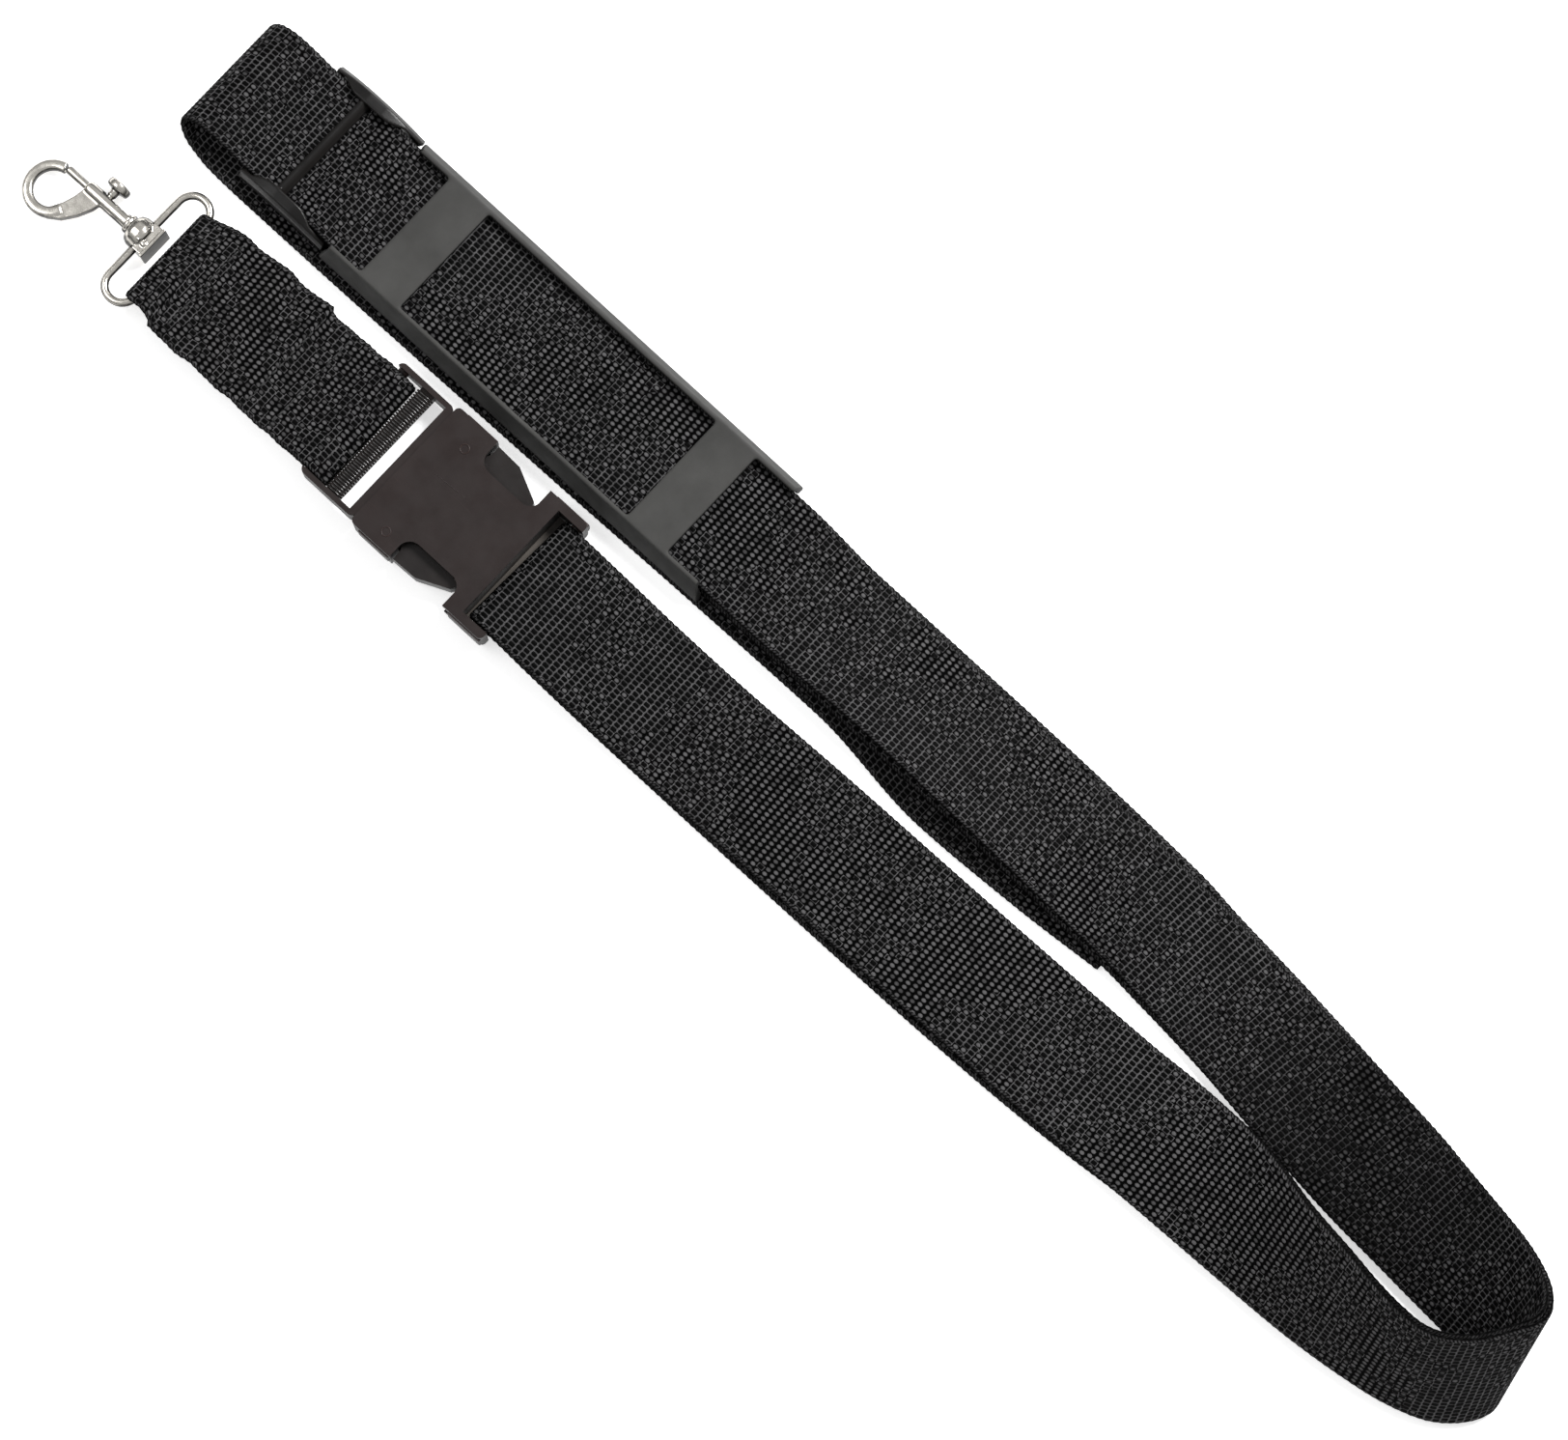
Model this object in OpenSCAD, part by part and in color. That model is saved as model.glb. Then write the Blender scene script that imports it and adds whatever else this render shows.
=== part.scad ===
/* [Webbing] */
// Width of the long strap
web_w = 40; // [38:1:41]
// Thickness of the strap
web_t = 1.5; // [1.3:0.1:1.6]
// Width of the short strap where it is folded round the wire loop
fold_w = 35; // [32:1:37]

/* [Buckle] */
// Width of the socket half
socket_w = 46.8; // [46:0.2:48]
// Thickness of the socket half
socket_t = 12; // [11:0.5:13]
// Width of the plug half
plug_w = 44.6; // [44:0.2:45]
// Thickness of the plug half's frame
plug_t = 8; // [7.5:0.5:9]
// Radius of the bars that the straps are folded round
bar_r = 1.8; // [1.6:0.1:1.8]

/* [Snap hook] */
// Radius of the hook's eye
eye_r = 6; // [5.5:0.1:6.2]
// Outer radius of the hook's ring
ring_r = 8.7; // [8.4:0.1:9]
// Thickness of the cast hook
hook_t = 3.4; // [3:0.1:3.6]
// Radius of the barrel that holds the bolt
barrel_r = 2.3; // [2.2:0.1:2.5]
// Radius of the sliding bolt
bolt_r = 1.25; // [1.1:0.05:1.3]
// Largest radius of the swivel collar
collar_r = 5.3; // [5:0.1:5.4]
// Radius of the loop's wire
wire_r = 1.3; // [1.2:0.05:1.3]

/* [Slider] */
// Width of the slider across the strap
slider_w = 44.5; // [44:0.5:46]
// Length of the slider along the strap
slider_l = 34; // [33:1:35]

/* [Shoulder pad] */
// Length of the pad
pad_l = 153; // [150:1:154]
// Width of the pad at its foot
pad_w = 47; // [46:1:48]
// Width of each bridge across the strap
bridge_l = 16; // [14:1:18]

/* [Hidden] */
$fn = 48;
gap = 0.1;            // play between a bar and the strap folded round it
layer = 1.9;          // pitch of two strap layers that lie on each other
bight_steps = 3;      // stations between two given ones in the bight
low = 0.85;           // height of the middle of a layer that lies on the table
mid = 2.65;           // height of the middle of the second layer
origin_x = 9.1;         // the model is drawn from the buckle side and then centred
origin_y = 4.6;

// Buckle: a socket hung on the long strap and a plug that holds the short strap
buckle_y = -21.4;
buckle_z = socket_t / 2;
socket_bar_x = -80;
mouth_x = -130;
plug_bar_x = -150;
// Snap hook: drawn along X from the loop's back wire and then tipped nose down
hook_y = -23.7;
loop_x = -224;
loop_z = 6.65;
tip_angle = 5.5;
loop_half = 20.3;
loop_reach = 11;
arm_x = -128.6;
arm_y = 12;
// Slider and pad
slider_x = -211;
slider_y = 32;
right_bar_x = -196.2;
left_bar_x = -226.5;
slider_bar_z = 4.9;
slider_bar_r = 1.4;
pad_x = -117.5;
pad_y = 31.1;
pad_floor = 7.5;
pad_top = 12.3;
pad_foot = 3.6;

// Strap routes. A station is the pair of points where the strap's two edges cross one line
// across it: the edge on the buckle's outer side first, then the opposite edge.
function flat(x, y, z, w = web_w) = [[x, y - w / 2, z], [x, y + w / 2, z]];
front_top = [flat(-80, -21.4, 8.65), flat(-77, -21.4, 8.65), flat(-62, -21.5, 7.6),
    flat(-40, -21.6, 4.6), flat(-15, -21.4, 2.8), flat(30, -20.2, mid), flat(80, -19.3, mid),
    flat(120, -18.4, mid), [[150, -37.5, mid], [150, 2.5, 2.9]]];
front_under = [flat(-80, -21.4, 3.35), flat(-77, -21.4, 3.35), flat(-62, -21.7, 2.4),
    flat(-40, -21.9, 1.3), flat(-15, -21.9, low), flat(30, -21.7, low), flat(80, -21.2, low),
    flat(120, -20.1, low), [[150, -38.3, low], [150, 1.7, 1]]];
// The bight: the strap climbs on its outer edge, turns back and lies down again
bight = [[[150, -37.5, mid], [150, 2.5, 2.9]], [[170, -36.6, 2.9], [170, 2.6, 6.5]],
    [[194, -35.7, 2.9], [192, 0.4, 15]], [[217, -34.6, 2.8], [212, -4.7, 24]],
    [[234, -33.2, 2.7], [229, -6.4, 27.5]], [[251, -30.6, 2.6], [246, -7.4, 30]],
    [[267, -27, 2.4], [262, -4.8, 31]], [[280.5, -21.5, 2.3], [274, 4, 30]],
    [[289.5, -13, 2.1], [281.5, 14.5, 28.5]], [[291.5, -5, 1.6], [286, 24, 28.5]],
    [[285, 0, 1], [281.5, 31, 24]], [[270, 1, 1], [269, 35, 17.5]],
    [[250, 1, 1], [252, 37.6, 9.5]], [[225, 1.5, 1], [230, 40.2, 3.2]]];
bight_start_under = [[150, -38.3, low], [150, 1.7, 1]];
bight_outer = smooth(bight, bight_steps);
back_under = [bight[13], [[195, 2.9, low], [200, 43, 1]], [[165, 6.5, low], [168, 46, low]],
    [[138, 8.6, low], [141, 48, low]], [[122, 9.4, mid], [124, 49.4, mid]], flat(60, 30.5, mid),
    flat(-40, 30.5, mid), flat(-180, 30.8, mid), flat(-190, 31.6, mid, 38.6),
    flat(right_bar_x, 32, mid, 38.6)];
back_top_low = [[[195, 2.6, 2.8], [200, 42.4, 3]], [[160, 7, 2.9], [165, 44.6, 2.9]],
    [[138, 9.8, 3.6], [141, 46.6, 3.4]], [[118, 11, 5.6], [120, 47.2, 4.7]],
    [[100, 11.2, 7], [100, 47.8, 4.7]], [[60, 11.6, 10], [60, 48.6, 4.8]],
    [[25, 11.8, 12], [25, 49.2, 5]], [[-8, 11, 10.4], [-8, 50, 6.4]], flat(-33, 31, 8.4),
    flat(-180, 31, 8.4), flat(-190, 31.3, 8.7), flat(-194, 31.5, 8.85)];
slider_wave = [flat(-194, 31.5, 8.85), flat(-197.5, 31.8, 8.9), flat(-203, 32, 7.9),
    flat(-208, 32, 6.9), flat(-213, 32, 6.7), flat(-218, 32, 6.9), flat(-223, 32, 7.2),
    flat(-229, 32, 7.2)];
end_bight = [flat(-229, 32, 7.2), flat(-230.5, 32, 7.2), flat(-236, 32, 8.8), flat(-243, 31.8, 9.4),
    flat(-248.5, 31.6, 7.8), flat(-250.8, 31.2, 5), flat(-249.4, 30.4, 2.2),
    flat(-245.5, 29.2, 1), flat(-238, 27.8, low)];
tail = [flat(-238, 27.8, low), flat(-225, 26.2, low), flat(-100, 26.2, low), flat(-40, 28, low),
    flat(9, 28.4, low), flat(53, 24.4, low), flat(90, 25.8, low), flat(121, 27.9, low)];

// Vector helpers and the solid strip that follows a route
function spline(a, b, c, d, t) =
    (2 * b + (c - a) * t + (2 * a - 5 * b + 4 * c - d) * t * t + (3 * b - a - 3 * c + d) * t * t * t) / 2;
function smooth(r, n) = concat([for (i = [0:last(r) - 1], k = [0:n - 1])
    spline(r[max(i - 1, 0)], r[i], r[i + 1], r[min(i + 2, last(r))], k / n)], [r[last(r)]]);
function unit(v) = v / norm(v);
function middle(s) = (s[0] + s[1]) / 2;
function last(r) = len(r) - 1;
function along(r, i) = unit(middle(r[min(i + 1, last(r))]) - middle(r[max(i - 1, 0)]));
function face_dir(r, i) = unit(cross(along(r, i), r[i][1] - r[i][0]));
function inset(r, i, d) = [r[i][0] - d * face_dir(r, i), r[i][1] - d * face_dir(r, i)];
function ring(r, i) = let (n = face_dir(r, i) * web_t / 2)
    [r[i][0] - n, r[i][1] - n, r[i][1] + n, r[i][0] + n];
bight_inner = concat([bight_start_under],
    [for (i = [bight_steps:last(bight_outer)]) inset(bight_outer, i, layer)]);
back_top = concat([bight_inner[last(bight_inner)]], back_top_low);

module strip(r) {
    points = [for (i = [0:last(r)]) each ring(r, i)];
    sides = [for (i = [0:last(r) - 1], k = [0:3]) let (a = 4 * i, m = (k + 1) % 4)
        [a + k, a + m, a + m + 4, a + k + 4]];
    ends = [[3, 2, 1, 0], [for (k = [0:3]) 4 * last(r) + k]];
    split = [for (f = concat(sides, ends)) each [[f[0], f[1], f[2]], [f[0], f[2], f[3]]]];
    polyhedron(points, [for (f = split) [f[2], f[1], f[0]]]);
}
module centred() translate([-origin_x, -origin_y, 0]) children();
// A bar or bore along Y, centred on y
module bar_y(x, y, z, r, w) translate([x, y, z]) rotate([90, 0, 0]) cylinder(r = r, h = w, center = true);
// A solid whose outline is drawn in X and Z and which is w wide in Y
module across(y, w) translate([0, y + w / 2, 0]) rotate([90, 0, 0]) linear_extrude(w) children();
module block(x0, x1, y, w, z0, z1) translate([x0, y - w / 2, z0]) cube([x1 - x0, w, z1 - z0]);
// A flat plate outline in X and Y between two heights
module plate(z0, z1) translate([0, 0, z0]) linear_extrude(z1 - z0) children();
module rounded(x0, x1, y, w, r) translate([(x0 + x1) / 2, y]) union() {
    square([x1 - x0 - 2 * r, w], center = true);
    square([x1 - x0, w - 2 * r], center = true);
    for (sx = [-1, 1], sy = [-1, 1])
        translate([sx * ((x1 - x0) / 2 - r), sy * (w / 2 - r)]) circle(r);
}

// ---- Snap hook ----
module on_hook() centred() translate([loop_x, hook_y, loop_z]) rotate([0, -tip_angle, 0]) children();
module turned_x(x) translate([x, 0, 0]) rotate([90, 0, 90]) rotate_extrude() children();
ring_at = [-41.4, -7.5];
barrel_x = [-35, -17.6];
bolt_tip_x = -42.3;
stem_x = -27.4;
shank_r = 1.7;
module hook_body() color([0.78, 0.76, 0.72]) on_hook() difference() {
    union() {
        plate(-hook_t / 2, hook_t / 2) difference() {
            union() {
                translate(ring_at) circle(ring_r);
                polygon([[-35.5, -13.7], [-30.6, -9], [-27.4, -3.4], [-26.8, -1], [-35, -1], [-39, -6]]);
            }
            translate([bolt_tip_x, -2.4]) square([10, 8]);
        }
        translate([barrel_x[0], 0, 0]) rotate([0, 90, 0])
            cylinder(r = barrel_r, h = barrel_x[1] - barrel_x[0]);
        translate([barrel_x[1] - 0.4, 0, 0]) rotate([0, 90, 0]) cylinder(r = shank_r, h = 12);
        turned_x(-6.4) polygon([[0, 0], [3.6, 0], [3.4, 0.7], [2.4, 1.4], [0, 1.7]]);
    }
    translate(ring_at) cylinder(r = eye_r, h = 10, center = true);
    translate([bolt_tip_x - 0.6, 0, 0]) rotate([0, 90, 0])
        cylinder(r = bolt_r + 0.1, h = barrel_x[1] - 1 - bolt_tip_x);
    block(stem_x - 1.2, stem_x + 8.4, 2.5, 5, -1.2, 1.2);
}
module hook_bolt() color([0.8, 0.78, 0.74]) on_hook() union() {
    translate([bolt_tip_x, 0, 0]) rotate([0, 90, 0]) cylinder(r = bolt_r, h = stem_x + 1.4 - bolt_tip_x);
    translate([stem_x, 0.4, 0]) rotate([-90, 0, 0]) cylinder(r = 1, h = 5.6);
    translate([stem_x, 5.4, 0]) rotate([-90, 0, 0]) rotate_extrude()
        polygon([[0, -2], [1.1, -2], [1.5, -0.6], [3.2, 0], [3.5, 0.6], [3.3, 1.5], [2.2, 2], [0, 2.2]]);
}
module bolt_spring() color([0.6, 0.6, 0.6]) on_hook() translate([stem_x + 1.5, 0, 0])
    rotate([0, 90, 0]) difference() {
        cylinder(r = 1.15, h = 5.9);
        translate([0, 0, -1]) cylinder(r = 0.8, h = 9);
    }
module swivel_collar() color([0.78, 0.76, 0.72]) on_hook() difference() {
    turned_x(-17.2) polygon([[0, 0], [3.9, 0], [4.2, 0.8], [4.6, 2.4], [collar_r, 3.6],
        [collar_r, 8.2], [4.9, 9.2], [4.7, 10.6], [0, 10.6]]);
    translate([-18, 0, 0]) rotate([0, 90, 0]) cylinder(r = shank_r + 0.06, h = 14);
    for (s = [-1, 1]) bar_y(-loop_reach, s * 5, 0, wire_r, 5.2);
}
module strap_loop() color([0.78, 0.76, 0.72]) on_hook() union() {
    bend = 3.4;
    bar_y(0, 0, 0, wire_r, 2 * (loop_half - bend));
    for (s = [-1, 1]) {
        translate([0, s * (2.4 + loop_half - bend) / 2, 0])
            bar_y(-loop_reach, 0, 0, wire_r, loop_half - bend - 2.4);
        translate([-loop_reach + bend, s * loop_half, 0]) rotate([0, 90, 0])
            cylinder(r = wire_r, h = loop_reach - 2 * bend);
        for (x = [-loop_reach + bend, -bend]) translate([x, s * (loop_half - bend), 0])
            rotate([0, 0, (x < -loop_reach / 2 ? 90 : 0) * s + (s < 0 ? -90 : 0)])
            rotate_extrude(angle = 90) translate([bend, 0]) circle(wire_r);
    }
}

// ---- Short strap ----
strap_y = -22;
module strap_side() {
    translate([plug_bar_x, buckle_z]) circle(bar_r + gap + web_t);
    translate([loop_x, loop_z]) circle(wire_r + gap + web_t);
    polygon([[plug_bar_x, buckle_z - 3.2], [plug_bar_x, buckle_z + 3.2], [-162, 7.1], [-190, 6.6],
        [-212, 7.6], [loop_x, loop_z + 2.7], [loop_x, loop_z - 2.7], [-212, 4.2], [-190, 3.4],
        [-162, 3.9]]);
}
module short_strap() color([0.1, 0.1, 0.1]) centred() difference() {
    intersection() {
        across(strap_y, web_w) strap_side();
        plate(-5, 30) polygon([[-228, hook_y - fold_w / 2], [-221, hook_y - fold_w / 2],
            [-206, strap_y - web_w / 2], [-146, strap_y - web_w / 2], [-146, strap_y + web_w / 2],
            [-206, strap_y + web_w / 2], [-221, hook_y + fold_w / 2], [-228, hook_y + fold_w / 2]]);
    }
    bar_y(plug_bar_x, strap_y, buckle_z, bar_r + gap, 60);
    bar_y(loop_x, strap_y, loop_z, wire_r + gap, 60);
}
module short_strap_stitching() color([0.16, 0.16, 0.16]) centred()
    for (x = [-211, -178, -168]) block(x - 0.4, x + 0.4, strap_y, 34, 7.6, 8);

// ---- Buckle, plug half ----
module plug_frame() color([0.23, 0.21, 0.2]) centred() difference() {
    union() {
        plate(buckle_z - plug_t / 2, buckle_z + plug_t / 2) difference() {
            rounded(-152, mouth_x - 0.3, buckle_y, plug_w, 2);
            translate([-152 - 1, buckle_y - 20.6]) square([20.2, 41.2]);
        }
        bar_y(plug_bar_x, buckle_y, buckle_z, bar_r, 42);
        block(-142.5, -137.6, buckle_y, 42, buckle_z - 2.4, buckle_z + 2.4);
        block(mouth_x - 1, -101, buckle_y, 9, buckle_z - 2.4, buckle_z + 2.4);
    }
    for (k = [0:26]) translate([-144, buckle_y - 19.5 + 1.5 * k, buckle_z + 2.1]) cube([8, 0.7, 1]);
    for (s = [-1, 1]) translate([arm_x, buckle_y + s * arm_y, -1]) cylinder(r = 2.8, h = 10.6);
}
// The arm on the positive Y side, drawn about its root
module arm() {
    plate(-3.1, 3.1) {
        circle(2.6);
        polygon([[0, -1.6], [15, -0.4], [19, 1.2], [34, 1.4], [35.4, 3.6], [34, 6], [24, 10.6],
            [15.4, 10.9], [15.2, 7.4], [13, 3.6], [0, 1.8]]);
    }
}
module plug_arm_left() color([0.21, 0.2, 0.19]) centred()
    translate([arm_x, buckle_y + arm_y, buckle_z]) arm();
module plug_arm_right() color([0.21, 0.2, 0.19]) centred()
    translate([arm_x, buckle_y - arm_y, buckle_z]) mirror([0, 1, 0]) arm();

// ---- Buckle, socket half ----
notch_x = [-114, -92.6];
module notch_outline() union() {
    depth = 8.5;
    translate([notch_x[0] + 4.2, -depth + 4.2]) circle(4.2);
    translate([notch_x[1] - 3.4, -depth + 3.6]) circle(3.4);
    translate([notch_x[0] + 4.2, -depth]) square([14.4, 4]);
    polygon([[notch_x[0], 4], [notch_x[0], -4.3], [notch_x[1], -4.9], [notch_x[1], 4]]);
}
module socket() color([0.23, 0.21, 0.2]) centred() difference() {
    union() {
        plate(0, socket_t) difference() {
            union() {
                rounded(mouth_x, -77.2, buckle_y, socket_w, 1.6);
                translate([mouth_x, buckle_y - 22]) square([4, 44]);
            }
            for (s = [0, 1]) translate([0, buckle_y]) mirror([0, s]) translate([0, socket_w / 2])
                notch_outline();
            translate([-86.8, buckle_y - 20.6]) square([12, 41.2]);
        }
        bar_y(socket_bar_x, buckle_y, buckle_z, bar_r, 43);
    }
    block(mouth_x - 1, -90, buckle_y, 39.4, buckle_z - 3.6, buckle_z + 3.6);
    block(notch_x[0] + 1, -90, buckle_y, 60, buckle_z - 3.6, buckle_z + 3.6);
}

// ---- Long strap ----
module webbing_colour() color([0.09, 0.09, 0.09]) centred() children();
module webbing_socket_fold() webbing_colour()
    translate([socket_bar_x, buckle_y + web_w / 2, buckle_z]) rotate([90, 0, 0])
    linear_extrude(web_w) difference() {
        circle(bar_r + gap + web_t);
        circle(bar_r + gap);
        translate([0, -9]) square([9, 18]);
    }
module webbing_front_top() webbing_colour() strip(front_top);
module webbing_front_under() webbing_colour() strip(front_under);
module webbing_bight_outer() webbing_colour() strip(bight_outer);
module webbing_bight_inner() webbing_colour() strip(bight_inner);
module webbing_back_under() webbing_colour() strip(back_under);
module webbing_back_top() webbing_colour() strip(back_top);
module webbing_slider_wave() webbing_colour() strip(slider_wave);
module webbing_end_bight() webbing_colour() strip(end_bight);
module webbing_tail() webbing_colour() strip(tail);
module webbing_fixed_end() webbing_colour() across(32, 38.6) union() {
    translate([right_bar_x, slider_bar_z]) difference() {
        circle(slider_bar_r + gap + web_t);
        circle(slider_bar_r + gap);
        translate([0, -9]) square([9, 18]);
    }
    polygon([[right_bar_x - 0.5, 6.6], [right_bar_x - 0.5, 7.8], [-191, 6.6], [-187, 5.1], [-181.5, 5],
        [-181.5, 3.6], [-187.5, 3.6], [-191.5, 4.6], [right_bar_x + 0.8, 6.45]]);
}
module fixed_end_stitching() color([0.16, 0.16, 0.16]) centred()
    for (x = [-185.5, -183]) block(x - 0.4, x + 0.4, 31.6, 34, 5.1, 5.4);

// ---- Slider ----
module rail_side() intersection() {
    translate([slider_x - slider_l / 2, 1.9]) square([slider_l, 9.4]);
    union() {
        translate([slider_x, -18.5]) circle(30, $fn = 96);
        translate([slider_x - slider_l / 2 + 0.5, 3.2]) square([slider_l - 1, 3.4]);
    }
}
module slider() color([0.2, 0.19, 0.18]) centred() union() {
    rail = (slider_w - 41) / 2;
    for (s = [-1, 1]) across(slider_y + s * (slider_w - rail) / 2, rail) rail_side();
    for (x = [left_bar_x, right_bar_x]) bar_y(x, slider_y, slider_bar_z, slider_bar_r, slider_w - 1);
    block(-215.8, -211.6, slider_y, slider_w - 1, 7.7, 10.4);
}

// ---- Shoulder pad ----
module pad_section() difference() {
    polygon([[-pad_w / 2, 1.9], [-21.4, 1.9], [-21.4, pad_foot], [21.4, pad_foot], [21.4, 1.9],
        [pad_w / 2, 1.9], [pad_w / 2, 3], [19.8, pad_top], [-19.8, pad_top], [-pad_w / 2, 3]]);
    translate([-20.7, pad_floor]) square([41.4, 1.9]);
    translate([-18.7, pad_floor]) square([37.4, 9]);
}
module bridge_section() polygon([[-20, 9.4], [20, 9.4], [19.8, pad_top], [-19.8, pad_top]]);
module along_x(x0, x1) translate([x0, 0, 0]) rotate([90, 0, 90]) linear_extrude(x1 - x0) children();
module shoulder_pad() color([0.27, 0.27, 0.26]) centred() translate([0, pad_y, 0]) difference() {
    union() {
        along_x(pad_x - pad_l / 2, pad_x + pad_l / 2) pad_section();
        for (x = [-179.3, -71]) along_x(x, x + bridge_l) bridge_section();
    }
    for (x = [-200, -56]) translate([x, -20.7, -1]) cube([x < -100 ? 20.5 : 20, 41.4, 30]);
}

hook_body();
hook_bolt();
bolt_spring();
swivel_collar();
strap_loop();
short_strap();
short_strap_stitching();
plug_frame();
plug_arm_left();
plug_arm_right();
socket();
webbing_socket_fold();
webbing_front_top();
webbing_front_under();
webbing_bight_outer();
webbing_bight_inner();
webbing_back_under();
webbing_back_top();
webbing_slider_wave();
webbing_end_bight();
webbing_tail();
webbing_fixed_end();
fixed_end_stitching();
slider();
shoulder_pad();
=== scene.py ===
"""A long adjustable shoulder strap with a pad, a side-release buckle and a snap hook.

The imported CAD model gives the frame. The webbing, pad, hook, loop and collar are built here in
millimetres, in the lay-out frame that the CAD source is drawn in, and then moved into the row
frame in metres. The moulded CAD parts stay, with rounded edges and their own materials.
"""

import math

import bmesh
import bpy
import numpy as np
from mathutils import Matrix, Vector


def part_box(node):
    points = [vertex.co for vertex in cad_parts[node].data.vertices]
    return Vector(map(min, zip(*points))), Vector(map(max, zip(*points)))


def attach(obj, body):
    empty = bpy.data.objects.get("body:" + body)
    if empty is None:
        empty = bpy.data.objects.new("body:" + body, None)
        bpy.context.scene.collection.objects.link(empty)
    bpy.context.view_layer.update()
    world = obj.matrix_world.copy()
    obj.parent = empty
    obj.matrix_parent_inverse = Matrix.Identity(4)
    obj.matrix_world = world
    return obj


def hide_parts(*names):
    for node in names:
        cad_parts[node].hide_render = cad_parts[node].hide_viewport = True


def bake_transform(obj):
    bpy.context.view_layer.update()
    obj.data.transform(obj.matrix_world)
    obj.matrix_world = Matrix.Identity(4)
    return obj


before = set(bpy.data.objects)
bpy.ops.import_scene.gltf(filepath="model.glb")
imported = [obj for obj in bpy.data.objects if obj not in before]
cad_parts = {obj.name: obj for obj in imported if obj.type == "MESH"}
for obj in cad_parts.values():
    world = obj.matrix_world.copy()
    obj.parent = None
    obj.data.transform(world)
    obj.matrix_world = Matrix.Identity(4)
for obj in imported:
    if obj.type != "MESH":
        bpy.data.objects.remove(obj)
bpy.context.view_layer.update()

MM = 0.001
SOCKET_MOUTH = (-130.0, -44.8)  # lay-out X and Y of the socket box's low corner
ORIGIN = np.array(
    [SOCKET_MOUTH[0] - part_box("socket")[0][0] / MM, SOCKET_MOUTH[1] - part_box("socket")[0][1] / MM, 0.0]
)

# Webbing
WEB_W = 40.0  # width
WEB_T = 1.5  # thickness
HEM_W = 38.6  # width where the strap is squeezed round the slider's bar
ROW = 2.29  # length of a float along the strap; the next row is set half a float over
FLOAT = 1.6  # pitch of the floats across it
STEP = ROW / 2  # spacing of the strap meshes' sections
RELIEF = 0.1  # how far a float stands over the strap's mean surface
LAYER = 1.9  # pitch of two layers that lie on each other
LOW, MID = 0.85, 2.65  # heights of the first and second layer on the table

# Buckle, slider, hook and pad, where the CAD has them
BUCKLE_Y, BUCKLE_Z = -21.4, 6.0
SOCKET_BAR_X, PLUG_BAR_X = -80.0, -150.0
SLIDER_Y = 32.0
RIGHT_BAR_X, RIGHT_BAR_Z = -196.2, 4.9
HOOK_Y, LOOP_X, LOOP_Z, TIP_ANGLE = -23.7, -224.0, 6.65, 5.5
PAD_X, PAD_Y = -117.5, 31.1


# ---------------------------------------------------------------- camera, light and floor
VIEW_RIGHT = Vector((0.7333, 0.6799, 0.0))
LEAN = math.radians(8.5)  # how far the camera leans from straight down
LENS, SENSOR = 135.0, 36.0
VIEW_WIDTH = 0.463  # metres across the picture at the table
VIEW_CENTRE = Vector((-0.0060, -0.0047, 0.0))


def camera():
    side = VIEW_RIGHT.cross(Vector((0, 0, 1)))
    back = side * math.sin(LEAN) + Vector((0, 0, math.cos(LEAN)))
    up = back.cross(VIEW_RIGHT)
    data = bpy.data.cameras.new("camera")
    data.lens, data.sensor_width = LENS, SENSOR
    cam = bpy.data.objects.new("camera", data)
    bpy.context.scene.collection.objects.link(cam)
    turn = Matrix((VIEW_RIGHT, up, back)).transposed().to_4x4()
    distance = VIEW_WIDTH * LENS / SENSOR
    cam.matrix_world = Matrix.Translation(VIEW_CENTRE + back * distance) @ turn
    data.clip_end = 20
    bpy.context.scene.camera = cam


def area_light(name, at, size, power):
    data = bpy.data.lights.new(name, "AREA")
    data.shape, data.size, data.energy = "DISK", size, power
    lamp = bpy.data.objects.new(name, data)
    bpy.context.scene.collection.objects.link(lamp)
    lamp.location = at
    lamp.rotation_mode = "QUATERNION"
    lamp.rotation_quaternion = (-Vector(at)).to_track_quat("-Z", "Y")


def studio():
    """A white room that is darker near the horizon, a key from +Y and a weak fill."""
    world = bpy.data.worlds.new("studio")
    bpy.context.scene.world = world
    world.use_nodes = True
    tree = Tree(world.node_tree)
    sky = tree.out("Background")
    height = tree.split(tree.add("ShaderNodeTexCoord").outputs["Generated"])[2]
    greys = ((0.0, 0.25), (0.28, 0.22), (0.5, 0.9), (1.0, 1.0))
    tree.link(tree.ramp(height, [(at, (grey,) * 3) for at, grey in greys]), sky.inputs["Color"])
    sky.inputs["Strength"].default_value = 0.42
    area_light("key", (0.15, 1.3, 1.5), 0.8, 52)
    area_light("fill", (-1.2, -0.6, 1.6), 1.2, 9)
    bpy.context.scene.view_settings.view_transform = "Standard"


def floor():
    mesh = grid_mesh("floor", np.linspace(-3, 3, 13), np.linspace(-3, 3, 13))
    obj = add_object("floor", mesh)
    tree = new_material("pale_floor")
    tree.set(Roughness=0.9, **{"Specular IOR Level": 0.1, "Emission Strength": 0.6})
    tree.bsdf.inputs["Emission Color"].default_value = (1, 1, 1, 1)
    speck = tree.noise(tree.object_coords(), 40, detail=3)
    tree.colour(tree.ramp(speck, [(0.3, (0.9,) * 3), (0.7, (0.93,) * 3)]))
    mesh.materials.append(tree.material)


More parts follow.
